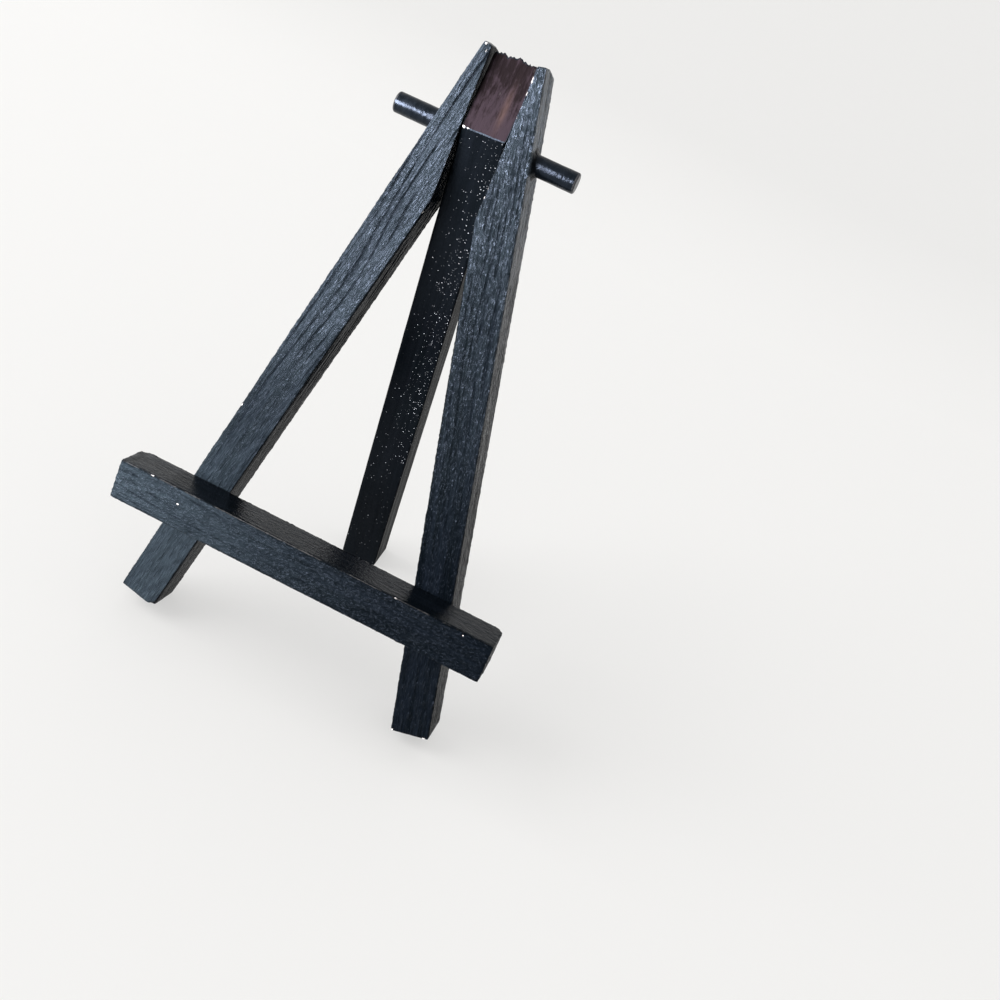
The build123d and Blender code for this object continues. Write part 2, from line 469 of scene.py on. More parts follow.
LEG_CHIPS = {
    "left": [
        ((4.3, 5.0, 160.3), (0.8, 0.8, 0.55)),
        ((3.5, 5.3, 159.2), (0.22, 0.3, 0.6)),
        ((-5.0, 5.4, 123.6), (0.3, 0.4, 0.6)),
        ((5.0, 5.5, 60.0), (0.35, 0.35, 0.55)),
    ],
    "right": [
        ((2.35, 5.4, 158.2), (0.26, 0.4, 1.7)),
        ((1.65, 5.45, 155.1), (0.22, 0.3, 0.7)),
        ((0.95, 5.45, 152.2), (0.20, 0.3, 0.35)),
        ((0.40, 5.45, 149.9), (0.18, 0.3, 0.45)),
        ((-3.3, 5.45, 134.4), (0.28, 0.4, 0.4)),
        ((-3.75, 5.45, 132.4), (0.22, 0.4, 0.6)),
        ((-4.8, 5.4, 0.2), (0.5, 0.4, 0.35)),
        ((3.8, 5.5, 0.1), (0.5, 0.3, 0.22)),
    ],
}


LEDGE_CHIPS = [
    ((5.1, 5.5, 8.8), (0.34, 0.32, 0.9)),
    ((5.1, 5.5, 74.0), (0.34, 0.32, 0.9)),
    ((4.2, 5.5, 92.0), (0.24, 0.30, 0.24)),
    ((1.2, 5.5, 16.9), (0.26, 0.5, 0.36)),
]
SEEDS = {"ledge": 307, "back leg": 409, "dowel": 511, "right ring": 601, "left ring": 631}


def build_front_leg(side, sizes):
    """Front leg hung from its top outer corner. Along the stick, its inner side gives way to the
    plane at the half gap: low(s) = W/2 + (gap - top + (s - L) sin splay) / cos splay."""
    sin, cos = math.sin(sizes.splay), math.cos(sizes.splay)
    width, depth, length = (v / MM for v in (sizes.leg_width, sizes.leg_depth, sizes.leg_length))
    gap, tip, drop = (v / MM for v in (sizes.leg_gap, sizes.leg_tip, sizes.dowel_drop))
    edge_radius = sizes.edge / MM
    half = width / 2
    taper_start = length - (width * cos - tip) / sin

    def low(s):
        return np.maximum(-half, half + (-tip + (s - length) * sin) / cos)

    def radii(s):
        sharp = smooth(taper_start - 2, taper_start + 1, s)
        return edge_radius - (edge_radius - 0.14) * sharp, edge_radius + 0 * s

    relief = LEG_RELIEF[side]
    rim = 0.3
    stations = np.arange(rim + 0.3, length - rim - 0.1, 0.36).round(4)
    place, facing, edge = stick_grid(
        LEG_PLAN, length, stations, low, lambda s: half + 0 * s, depth / 2, radii, rim, 16
    )
    s = place[..., 2]
    face_x, _, face_z = np.moveaxis(facing, -1, 0)
    seed = relief["seed"]
    strength = np.interp(s, *relief["ridge"])
    grain = wood_under_paint(place, facing, seed, strength, relief["spacing"], relief["peel"])
    chips = blobs(place, LEG_CHIPS[side])
    height = grain + edge_nicks(place, edge, seed, 0.30) - 0.25 * smooth(0.3, 0.8, chips)
    foot_rim = 1 - smooth(0.0, 0.9, s)
    height -= foot_rim * 0.28 * layered_noise(place * 1.3, seed + 57, 2)
    at_end = smooth(length - 9, length, s)
    height -= at_end * 0.35 * layered_noise(place * 0.9, seed + 51, 2) * (edge + abs(face_z))
    inner = smooth(0.3, 0.8, -face_x) * smooth(taper_start - 1, taper_start + 1, s)
    ends = smooth(0.3, 0.8, abs(face_z))
    held = np.maximum(inner, ends)
    height = height * (1 - held) - held * 0.06 * layered_noise(place * (1.2, 1.2, 0.3), seed + 5, 2)
    moved = place + facing * height[..., None]
    near_top = smooth(length - 10, length, s)
    moved[..., 2] -= near_top * relief["back_slope"] * np.clip(1.0 - place[..., 1], 0, None)
    broken = blobs(place, [((-half, depth / 2, 0), (1.0, 1.0, 1.2))]) if side == "left" else 0 * edge
    moved += broken[..., None] * np.array((0.6, -0.6, 0.7))

    hand = 1 if side == "right" else -1
    top_u = gap + tip
    across, along = np.array((cos, sin)), np.array((-sin, cos))

    def to_plane(local):
        """(across, front, along) to (side, front, up the lean), measured from the hinge."""
        uv = (
            np.array((top_u, drop))
            + (local[..., :1] - half) * across
            + (local[..., 2:] - length) * along
        )
        return np.stack([uv[..., 0], local[..., 1], uv[..., 1]], -1)

    plane, exact = to_plane(moved), to_plane(place)
    outer, inside = side_blocks(LEG_PLAN, exact, BORE_BLOCK)
    body_rows = (place[:, 0, 2] > 1) & (place[:, 0, 2] < length - 1)
    rows_out, rows_in = (
        block_between(
            np.where(body_rows, exact[:, sum(block) // 2, 2], FAR_OFF), -BORE_BLOCK, BORE_BLOCK
        )
        for block in (outer, inside)
    )
    span = min(rows_out[1] - rows_out[0], rows_in[1] - rows_in[0])
    rows_out, rows_in = (rows_out[0], rows_out[0] + span), (rows_in[0], rows_in[0] + span)
    axes = lean_axes(sizes, hand)
    bore = bored(
        plane, (rows_out, outer), (rows_in, inside), DOWEL_RADIUS, axes,
        lambda z: top_u - (z - drop) * math.tan(sizes.splay), lambda z: gap + 0 * z,
    )

    # Painted light by place: slaty colour and specular level follow the leg's tables, painted sheen and
    # painted shade; the inner side gets much less specular level and no slaty colour, painted shade, and
    # the outer side takes its own tables, painted sheen and a painted reflection.
    slate = np.interp(s, *relief["slate"])
    outside, within = smooth(0.8, 0.98, face_x), smooth(0.4, 0.9, -face_x)
    satin = np.interp(s, *relief["painted_shine_along"])
    satin = satin - 0.9 * satin * within
    satin += outside * np.interp(s, *relief["side_painted_shine"])
    slate = slate * (1 - outside) * (1 - within)
    slate += outside * np.interp(s, *relief["side_slate"])
    attributes = surface_marks(
        place, seed, edge, grain, chips=chips, slate=slate, satin=satin, calm=0.6 * within
    )
    return closed_skin(f"{side}_front_leg_painted", place_in(plane, HINGE, axes), attributes, bore)


def build_ledge(sizes):
    """Ledge along X, centred on its CAD box, in (up the lean, front, along from the left end)."""
    height, depth = sizes.ledge_height / MM, sizes.ledge_depth / MM
    length = LEDGE_HIGH[0] - LEDGE_LOW[0]
    rim = 0.25
    stations = np.arange(rim + 0.25, length - rim - 0.1, 0.27).round(4)
    plan = section_plan(40, 38, 4)
    place, facing, edge = even_stick(plan, (height, depth, length), sizes.edge / MM, stations, rim, 18)
    s = place[..., 2]
    face_x, face_y, face_z = np.moveaxis(facing, -1, 0)
    seed = SEEDS["ledge"]
    strength = np.interp(s, (0, 25, 60, 99), (0.10, 0.08, 0.05, 0.03))
    peel = np.interp(s, (0, 40, 99), (0.10, 0.12, 0.17))
    relief = wood_under_paint(place, facing, seed, strength, 2.3, peel)
    relief *= 1 - 0.7 * smooth(0.4, 0.9, face_x)
    saw = np.exp(-s / 5.0) * (value_noise(place * (1.5, 0.4, 0.9), 77) - 0.5)
    relief += 0.22 * saw * (abs(face_z) < 0.7)
    chips = blobs(place, LEDGE_CHIPS)
    relief += edge_nicks(place, edge, seed, 0.26) - 0.22 * smooth(0.3, 0.8, chips)
    ends = smooth(0.3, 0.8, abs(face_z))
    rough_end = 0.18 * layered_noise(place * 0.9, seed + 5, 2)
    rough_end += 0.10 * value_noise(place * (1.6, 0.25, 1), 83)
    painted = relief
    relief = relief * (1 - ends) - ends * rough_end
    back = smooth(0.5, 0.9, -face_y)
    relief = relief * (1 - back) - back * 0.04 * layered_noise(place * 0.6, seed + 9, 2)
    end_edge = 1 - smooth(0, 1.2, np.minimum(s, length - s))
    relief -= end_edge * (0.30 + 0.60 * edge) * (layered_noise(place * 1.3, seed + 13, 2) - 0.2)
    broken = blobs(
        place, [((5.3, -5.6, -0.2), (0.9, 1.2, 1.4)), ((5.3, -5.6, length + 0.2), (0.9, 1.0, 1.2))]
    )
    inwards = np.sign(length / 2 - s)
    toward = np.stack([0 * edge - 0.6, 0 * edge + 0.6, inwards], -1)
    moved = place + facing * relief[..., None] + toward * (broken * 0.8)[..., None]

    centre = (LEDGE_LOW + LEDGE_HIGH) / 2
    origin = (LEDGE_LOW[0], centre[1], centre[2])
    # A thin pale line along the top front edge, broken by noise and fading out towards the right end.
    pale_top_edge = smooth(0.90, 0.99, face_x * 0.707 + face_y * 0.707)
    pale_top_edge = pale_top_edge * smooth(0.25, 0.5, layered_noise(place * (1, 1, 0.25), seed + 61, 2))
    pale_top_edge *= np.interp(s, (0, 3, 60, 88, 92), (0.6, 1.0, 0.8, 0.6, 0.0))
    # Slaty colour on the front face and ends, paler towards the left end: thin paint and painted sheen.
    slate = np.interp(s, (0, 15, 30, 50, 70, 99), (0.80, 0.60, 0.42, 0.18, 0.04, 0.0))
    slate = slate * smooth(0.2, 0.8, face_y + abs(face_z))
    # Specular level by place, painted sheen and painted shade: the front face dims towards the right end,
    # the top face is brightest at the left end and dimmer where the front legs cross it.
    upper = smooth(0.4, 0.9, face_x)
    satin = np.interp(s, (0, 30, 60, 99), (0.58, 0.50, 0.48, 0.28)) * (1 - upper)
    satin = satin + upper * np.interp(s, (0, 22, 40, 99), (1.95, 1.5, 1.06, 0.92))
    from_crossing = abs(abs(s - length / 2) - LEDGE_CROSSING)
    satin *= 1 - 0.45 * upper * (1 - smooth(4.5, 7.5, from_crossing))
    edge = np.maximum(edge * 0.5, pale_top_edge)
    attributes = surface_marks(
        place, seed, edge, painted, chips=chips, slate=slate, satin=satin, calm=0.75 * upper
    )
    return closed_skin("ledge_painted", place_in(moved, origin, lean_axes(sizes, 1)[::-1]), attributes)


def build_back_leg(sizes):
    """Back leg in (right, front, up), measured from the hinge. Near its top the stations shear to
    the sloping face: s = r + share(r) (n.x x + n.f f) / -n.s, so the cap lies in the mitre plane."""
    depth = sizes.back_depth / MM
    width = BACK_HIGH[0] - BACK_LOW[0]
    tilt = sizes.back_tilt
    toe = depth / 2 * math.sin(tilt)
    reach = (HINGE[2] - toe) / math.cos(tilt)
    slope, skew = sizes.mitre, sizes.mitre_skew
    normal = np.array(
        (-math.sin(slope) * math.sin(skew), math.cos(slope), math.sin(slope) * math.cos(skew))
    )
    top = sizes.mitre_reach / MM / normal[2]
    length = reach + top
    plan = section_plan(40, 32, 4)
    rim = 0.16
    stations = np.arange(rim + 0.3, length - rim - 0.1, 0.34).round(4)
    place, facing, edge = even_stick(plan, (width, depth, length), sizes.edge / MM, stations, rim, 26)
    s = place[..., 2]
    face_x, _, face_z = np.moveaxis(facing, -1, 0)
    cap_row = int(np.argmax(place[:, 0, 2] >= length - 1e-6))
    seed = SEEDS["back leg"]
    painted = wood_under_paint(place, facing, seed, 0.025, 1.6, 0.03)
    painted += edge_nicks(place, edge, seed, 0.16)
    sides = smooth(0.3, 0.8, abs(face_x))
    ends = smooth(0.3, 0.8, abs(face_z))
    held = np.maximum(sides, ends)
    relief = painted * (1 - held) - held * 0.05 * layered_noise(place * (1, 1, 0.4), seed + 5, 2)
    at_top = face_z > 0.5
    streaks = value_noise(place * (2.4, 0.22, 1), seed + 23)
    streaks += 0.6 * value_noise(place * (5.5, 0.5, 1), 71)
    relief -= at_top * 0.09 * streaks

    moved = place + facing * relief[..., None]
    bite = 1 - smooth(0.0, 1.4, place[..., 1] + depth / 2)
    ragged = layered_noise(place * (0.9, 0.3, 0.1), seed + 43, 3)
    near_top = smooth(length - 2.2, length - 0.2, s)
    teeth = value_noise(place * (2.6, 0.3, 0.1), seed + 47)
    moved[..., 1] -= bite * near_top * (1.45 - 1.3 * ragged - 0.55 * teeth)
    moved[..., 2] -= reach
    share = np.clip((moved[..., 2] + 7) / (top + 7), 0, 1.02)
    shear = -(normal[0] * moved[..., 0] + normal[1] * moved[..., 1]) / normal[2]
    moved[..., 2] += share * shear

    right, left = side_blocks(plan, place, HINGE_BLOCK)
    rows = block_between(place[:, 0, 2] - reach, -3.7, 5.6)
    sin, cos = math.sin(tilt), math.cos(tilt)
    axes = [(1, 0, 0), (0, -cos, -sin), (0, -sin, cos)]
    bore = bored(
        moved, (rows, right), (rows, left), sizes.hinge_hole / MM, axes,
        lambda z: width / 2 + 0 * z, lambda z: -width / 2 + 0 * z,
    )
    corner = -width / 2
    spots = [(corner + 0.4, (0.55, 0.28, 0.28)), (corner + 1.5, (0.45, 0.20, 0.20))]
    chips = blobs(place, [((x, depth / 2, length), size) for x, size in spots])
    below = moved[..., 2] - 3
    dusty = smooth(-3.5, 3.5, place[..., 0])
    dusty *= np.interp(-below, (-20, 0, 35, 80, 110), (0.05, 0.45, 1.0, 0.8, 0.05))
    dusty *= smooth(0.15, 0.5, layered_noise(place * (0.25, 0.25, 0.08), seed + 71, 2))
    dusty = 0.10 + 0.9 * dusty
    # Specular level by place: painted shade towards the foot and far less on the sides.
    satin = np.interp(s, (0, 80, 100), (0.5, 0.95, 1.2))
    satin *= 1 - 0.87 * smooth(0.4, 0.9, abs(face_x))
    # On the sawn slope, a painted sheen that grows towards its front edge, and painted shade on its left
    # side.
    painted_mitre_sheen = at_top * smooth(-4.6, 3.5, place[..., 1])
    painted_mitre_sheen = painted_mitre_sheen * smooth(-width * 0.75, -width * 0.15, place[..., 0])
    streak = blobs(place, [((2.0, 0.9, length), (0.7, 2.2, 9))])
    dusty = dusty * (1 - at_top) + streak * at_top
    attributes = surface_marks(
        place, seed, edge, painted, chips=chips, slate=painted_mitre_sheen, dusty=dusty, satin=satin
    )
    return closed_skin("back_leg_painted", place_in(moved, HINGE, axes), attributes, bore, cap_row)


def build_dowel():
    """Dowel along X: a circle whose radius is eased over each end and rippled by drips of paint."""
    radius = DOWEL_RADIUS
    half = (DOWEL_HIGH[0] - DOWEL_LOW[0]) / 2
    easing = np.linspace(0, math.pi / 2, 6)
    cap = np.linspace(0.03, 1, 8, endpoint=False)
    body = np.arange(-half + 0.6, half - 0.5, 0.24)
    chamfer = 0.45
    rise, narrowing = half - chamfer * (1 - np.cos(easing)), radius - chamfer * (1 - np.sin(easing))
    along = np.concatenate([0 * cap - half, -rise, body, rise[::-1], 0 * cap + half])
    shrink = cap * (radius - chamfer)
    size = np.concatenate([shrink, narrowing, 0 * body + radius, narrowing[::-1], shrink[::-1]])
    turn = np.linspace(0, 2 * math.pi, 72, endpoint=False)
    x = np.broadcast_to(along[:, None], (len(along), len(turn)))
    place = np.stack([x, size[:, None] * np.cos(turn), size[:, None] * np.sin(turn)], -1)
    seed = SEEDS["dowel"]
    outside = abs(x) > 8
    drips = layered_noise(place * (0.30, 0.7, 0.7), seed, 2) - 0.45
    flats = layered_noise(place * (0.08, 0.5, 0.5), seed + 6, 2) - 0.5
    swell = (0.10 * drips + 0.12 * flats) * outside * smooth(radius * 0.6, radius, size)[:, None]
    swell = np.minimum(swell, 0.05)
    unit = place * (0, 1, 1) / np.maximum(size[:, None, None], 1e-3)
    moved = place + unit * swell[..., None]
    edge = np.broadcast_to((abs(abs(along) - half + 0.2) < 0.28)[:, None] * 1.0, x.shape)
    # Less specular level on the dowel's right half: painted shade.
    satin = 1 - 0.30 * smooth(-2, 2, x)
    attributes = surface_marks(place, seed, edge, swell, satin=satin)
    return closed_skin("hinge_dowel_painted", moved + HINGE, attributes)


def build_glue_ring(side, sizes):
    """Collar of glue and paint round the dowel on a front leg's outer side. Round the dowel by
    angle t, its section is a closed loop by angle p: out to a ragged reach, and up a hollow cove."""
    hand = 1 if side == "right" else -1
    seed = SEEDS[f"{side} ring"]
    turn = np.linspace(0, 2 * math.pi, 96, endpoint=False)
    cove = np.linspace(0, 1, 14)
    around = np.stack([np.cos(turn), np.sin(turn), 0 * turn], -1)
    reach = 0.55 + 1.1 * layered_noise(around * 1.7 + 40, seed, 3)
    rise = 0.35 + 0.9 * layered_noise(around * 1.5 + 20, seed + 3, 3)
    out = DOWEL_RADIUS - 0.15 + (reach + 0.15) * cove[:, None]
    up = rise * (1 - cove[:, None]) ** 2.2 + 0.10 * (1 - cove[:, None] ** 6)
    under_out = out[::-1][1:-1]
    under_up = 0 * under_out - 0.35
    out, up = np.concatenate([out, under_out]), np.concatenate([up, under_up])
    y, z = out * np.cos(turn), out * np.sin(turn)
    lumps = layered_noise(np.stack([y, z, up], -1) * 1.2 + 30, seed + 9, 2) - 0.5
    up = up + 0.16 * lumps * (up > 0)
    face = (sizes.leg_gap + sizes.leg_tip) / MM - (z - sizes.dowel_drop / MM) * math.tan(sizes.splay)
    plane = np.stack([face + up, y, z], -1)
    grid = place_in(plane, HINGE, lean_axes(sizes, hand))
    ids = grid_ids(grid)
    ids = np.concatenate([ids, ids[:1]])
    faces = quads_between(ids, np.roll(ids, -1, 1)).reshape(-1, 4)
    flat = plane.reshape(-1, 3)
    attributes = surface_marks(flat, seed, 0.0)
    return finished_mesh(f"{side}_glue_ring", grid.reshape(-1, 3), faces, attributes)


# ---------------------------------------------------------------- node helpers
def feed(tree, socket, value):
    if isinstance(value, bpy.types.NodeSocket):
        tree.links.new(value, socket)
    elif socket.type == "RGBA" and len(value) == 3:
        socket.default_value = (*value, 1)
    else:
        socket.default_value = value


def set_inputs(tree, node, **inputs):
    for label, value in inputs.items():
        feed(tree, node.inputs[label.replace("_", " ")], value)


def add_node(tree, kind, settings=None, **inputs):
    made = tree.nodes.new(kind)
    for label, value in (settings or {}).items():
        setattr(made, label, value)
    set_inputs(tree, made, **inputs)
    return made


def bump_of(tree, height, strength, distance):
    """Normal of a surface bumped by a height, with the distance in metres."""
    made = add_node(tree, "ShaderNodeBump", Strength=strength, Distance=distance, Height=height)
    return made.outputs[0]


def calc(tree, operation, *values, clamp=False):
    made = add_node(tree, "ShaderNodeMath", {"operation": operation, "use_clamp": clamp})
    for socket, value in zip(made.inputs, values):
        feed(tree, socket, value)
    return made.outputs[0]


def times(tree, *values, clamp=False):
    return calc(tree, "MULTIPLY", *values, clamp=clamp)


def plus(tree, *values, clamp=False):
    return calc(tree, "ADD", *values, clamp=clamp)


def minus(tree, *values):
    return calc(tree, "SUBTRACT", *values)


def times_plus(tree, *values):
    return calc(tree, "MULTIPLY_ADD", *values)


def blend_colour(tree, factor, first, second):
    """Mix node in its colour form, whose sockets are 0, 6 and 7, and 2 on the way out."""
    made = add_node(tree, "ShaderNodeMix", {"data_type": "RGBA"})
    for number, value in ((0, factor), (6, first), (7, second)):
        feed(tree, made.inputs[number], value)
    return made.outputs[2]


def scaled(tree, vector, scale):
    return add_node(tree, "ShaderNodeMapping", Vector=vector, Scale=scale).outputs[0]


def shrunk(tree, vector, size):
    """Vector divided by one number."""
    made = add_node(tree, "ShaderNodeVectorMath", {"operation": "SCALE"}, Vector=vector)
    tree.links.new(calc(tree, "DIVIDE", 1.0, size), made.inputs["Scale"])
    return made.outputs[0]


def new_material(name):
    """Empty material with nodes: itself, its tree, and its Principled shader."""
    material = bpy.data.materials.new(name)
    material.use_nodes = True
    return material, material.node_tree, material.node_tree.nodes["Principled BSDF"]


def noise(tree, vector, scale, detail=2.0, roughness=0.5, distortion=0.0):
    made = add_node(
        tree, "ShaderNodeTexNoise", Vector=vector, Scale=scale, Detail=detail,
        Roughness=roughness, Distortion=distortion,
    )
    return made.outputs[0]


def between(tree, value, low, high):
    """0 below low, 1 above high, and a smooth step between them."""
    made = add_node(tree, "ShaderNodeMapRange", {"interpolation_type": "SMOOTHSTEP"}, Value=value)
    made.inputs[1].default_value, made.inputs[2].default_value = low, high
    return made.outputs[0]


def new_group(name, inputs, outputs):
    """Empty node group. Inputs and outputs are (name, kind, default) rows."""
    group = bpy.data.node_groups.new(name, "ShaderNodeTree")
    for rows, way in ((inputs, "INPUT"), (outputs, "OUTPUT")):
        for label, kind, default in rows:
            socket = group.interface.new_socket(label, in_out=way, socket_type=f"NodeSocket{kind}")
            if default is not None:
                socket.default_value = default
    given = group.nodes.new("NodeGroupInput").outputs
    wanted = group.nodes.new("NodeGroupOutput").inputs
    return group, given, wanted


def use_group(tree, group, **inputs):
    return add_node(tree, "ShaderNodeGroup", {"node_tree": group}, **inputs).outputs


def brushed_grain():
    """Long streaks of brush and grain, and broader bands of thin and thick paint."""
    group, given, wanted = new_group(
        "Brushed grain",
        [("Vector", "Vector", None)],
        [("Streaks", "Float", None), ("Bands", "Float", None)],
    )
    thin = scaled(group, given["Vector"], (1.0, 1.0, 0.11))
    wide = scaled(group, given["Vector"], (0.36, 0.36, 0.012))
    group.links.new(noise(group, thin, 2.4, 3, 0.6, 0.4), wanted["Streaks"])
    group.links.new(noise(group, wide, 1.5, 2, 0.5, 0.6), wanted["Bands"])
    return group


def orange_peel():
    """Rounded pimples of thick paint, broken by finer ones."""
    group, given, wanted = new_group(
        "Orange peel",
        [("Vector", "Vector", None), ("Size", "Float", 0.7), ("Stretch", "Float", 1.0)],
        [("Height", "Float", None)],
    )
    long = add_node(group, "ShaderNodeCombineXYZ", X=1.0, Y=1.0, Z=given["Stretch"])
    spread = add_node(group, "ShaderNodeVectorMath", {"operation": "MULTIPLY"})
    group.links.new(shrunk(group, given["Vector"], given["Size"]), spread.inputs[0])
    group.links.new(long.outputs[0], spread.inputs[1])
    cells = add_node(
        group, "ShaderNodeTexVoronoi", {"feature": "SMOOTH_F1"},
        Vector=spread.outputs[0], Scale=0.8, Smoothness=0.7,
    )
    soft = noise(group, spread.outputs[0], 1.1, 3, 0.55, 0.2)
    round_cells = minus(group, 0.8, cells.outputs["Distance"])
    total = plus(group, times(group, round_cells, 0.55), soft)
    group.links.new(total, wanted["Height"])
    return group


def dust_specks():
    """Small round specks: cells whose middle is near and whose own random red is under the share.
    Their random green sets how far they reach, and their random blue how bright they are."""
    group, given, wanted = new_group(
        "Dust specks",
        [
            ("Vector", "Vector", None),
            ("Spacing", "Float", 0.9),
            ("Share", "Float", 0.2),
            ("Where", "Float", 1.0),
        ],
        [("Mask", "Float", None)],
    )
    sized = shrunk(group, given["Vector"], given["Spacing"])
    cells = add_node(
        group, "ShaderNodeTexVoronoi", {"feature": "F1"}, Vector=sized, Scale=1.0, Randomness=1.0
    )
    parts = add_node(group, "ShaderNodeSeparateColor", Color=cells.outputs["Color"])
    wanted_share = times(group, given["Share"], given["Where"])
    chosen = calc(group, "GREATER_THAN", wanted_share, parts.outputs[0])
    reach = times_plus(group, parts.outputs[1], 0.20, 0.07)
    near = calc(group, "GREATER_THAN", reach, cells.outputs["Distance"])
    bright = times_plus(group, calc(group, "POWER", parts.outputs[2], 3.0), 0.80, 0.07)
    group.links.new(times(group, times(group, chosen, near), bright), wanted["Mask"])
    return group


def worn_edges():
    """Where an edge mask beats a ragged threshold."""
    group, given, wanted = new_group(
        "Worn edges",
        [("Vector", "Vector", None), ("Edge", "Float", 0.0), ("Amount", "Float", 0.3)],
        [("Mask", "Float", None)],
    )
    ragged = noise(group, given["Vector"], 1.6, 3, 0.65)
    limit = minus(group, 1.25, times(group, given["Amount"], plus(group, ragged, 0.5)))
    over = minus(group, given["Edge"], limit)
    group.links.new(times(group, over, 4.0, clamp=True), wanted["Mask"])
    return group


def shared_groups():
    made = {
        "Brushed grain": brushed_grain,
        "Orange peel": orange_peel,
        "Dust specks": dust_specks,
        "Worn edges": worn_edges,
    }
    return {name: bpy.data.node_groups.get(name) or make() for name, make in made.items()}


def attribute(tree, name, vector=False):
    made = add_node(tree, "ShaderNodeAttribute", {"attribute_name": name})
    return made.outputs["Vector" if vector else "Fac"]


def ragged_chips(tree, vector):
    """Mask of the chips, with ragged outlines."""
    ragged = times(tree, minus(tree, noise(tree, vector, 3.2, 3, 0.6), 0.5), 0.9)
    return between(tree, plus(tree, attribute(tree, "chips"), ragged), 0.50, 0.62)


WOOD_LOOK = dict(
    peel_size=0.75, stretch=0.7, haze=0.6, wear=0.35, dust=0.0, dust_spacing=0.9,
    rough=0.33, specular=0.095, streak_height=0.5, peel_height=0.7, pit_shade=1.0,
)
OWN_LOOK = {
    "left front leg": dict(
        haze=0.9, peel_height=0.8, peel_size=0.40, stretch=0.25, streak_height=2.8, rough=0.26,
        pit_shade=0.7,
    ),
    "right front leg": dict(
        haze=0.6, peel_height=1.6, peel_size=0.41, stretch=0.32, streak_height=3.0, rough=0.23,
        pit_shade=1.4,
    ),
    "ledge": dict(
        haze=0.5, peel_height=1.7, peel_size=0.46, stretch=0.6, wear=0.8, streak_height=1.4,
        rough=0.22, pit_shade=1.4,
    ),
    "back leg": dict(
        haze=0.15, peel_height=0.25, streak_height=0.2, dust=0.85, dust_spacing=0.52, pit_shade=0.15
    ),
    "dowel": dict(
        haze=0.3, rough=0.26, specular=0.32, peel_height=0.3, streak_height=0.15, pit_shade=0.2
    ),
    "glue ring": dict(haze=0.1, rough=0.35, peel_height=0.5, dust=0.10, dust_spacing=0.8),
}


def painted_wood(name, finish):
    """Satin black paint on wood. Colour goes from thick to hazy paint along streaks and bands, and
    to a pale slaty colour for thin paint and painted sheen, strongest over the crests as a painted
    highlight, with edge wear, pale chips and dust on top. The specular level is raised on crests and
    pimple tops, a painted highlight, lowered in grooves and hollows, painted shade, and scaled by
    place as painted sheen and painted shade. Streaks and orange peel are bump, less of it where
    the surface is calm."""
    groups, look = shared_groups(), {**WOOD_LOOK, **OWN_LOOK[name]}
    material, tree, shader = new_material(f"{name} paint")
    vector = attribute(tree, "stick_mm", vector=True)
    grain = use_group(tree, groups["Brushed grain"], Vector=vector)
    peel = use_group(
        tree, groups["Orange peel"], Vector=vector, Size=look["peel_size"], Stretch=look["stretch"]
    )["Height"]
    streaks = between(tree, grain["Streaks"], 0.36, 0.66)
    bands = between(tree, grain["Bands"], 0.38, 0.62)
    hazy = plus(tree, times(tree, streaks, 0.35), times(tree, bands, 0.5))
    hazy = times(tree, hazy, look["haze"], clamp=True)
    colour = blend_colour(tree, hazy, finish.paint, finish.haze)
    # Slaty colour for thin paint and painted sheen, strongest over the crests: a painted highlight.
    crest = between(tree, attribute(tree, "crest"), 0.15, 0.95)
    thin = times(tree, attribute(tree, "slate"), times_plus(tree, crest, 0.9, 0.35))
    thin = times(tree, thin, times_plus(tree, streaks, 0.4, 0.8), clamp=True)
    colour = blend_colour(tree, thin, colour, finish.slate)
    wear = use_group(
        tree, groups["Worn edges"], Vector=vector, Edge=attribute(tree, "edge"), Amount=look["wear"]
    )
    colour = blend_colour(tree, times(tree, wear["Mask"], 0.08), colour, finish.chip)
    chipped = ragged_chips(tree, vector)
    specks = use_group(
        tree, groups["Dust specks"], Vector=vector, Spacing=look["dust_spacing"],
        Share=look["dust"], Where=attribute(tree, "dusty"),
    )
    pale = calc(tree, "MAXIMUM", chipped, specks["Mask"])
    colour = blend_colour(tree, chipped, colour, finish.chip)
    colour = blend_colour(tree, specks["Mask"], colour, finish.dust)
    rough = times_plus(tree, bands, 0.10, look["rough"] - 0.05)
    rough = plus(tree, rough, times(tree, pale, 0.4), clamp=True)
    # Specular level: raised on crests and pimple tops, a painted highlight, lowered in grooves and
    # hollows, painted shade, then scaled by place as painted sheen and painted shade.
    crest_highlight = times_plus(tree, between(tree, attribute(tree, "crest"), 0.05, 0.85), 1.1, 0.40)
    texture = minus(tree, 1.0, attribute(tree, "calm"))
    pit_shade_level = times_plus(tree, between(tree, peel, 0.56, 0.88), look["pit_shade"], -look["pit_shade"] / 2)
    rounded = times_plus(tree, pit_shade_level, texture, 1.0)
    sheen = times(tree, times(tree, crest_highlight, rounded), look["specular"])
    streaked = times(tree, grain["Streaks"], look["streak_height"])
    height = times(tree, plus(tree, streaked, times(tree, peel, look["peel_height"])), texture)
    height = plus(tree, height, times(tree, pale, -0.3))
    set_inputs(
        tree, shader, Base_Color=colour, Roughness=rough, Specular_Tint=(0.63, 0.77, 1.0),
        Specular_IOR_Level=times(tree, sheen, attribute(tree, "satin")),
        Normal=bump_of(tree, height, 1.0, 0.0002),
    )
    return material


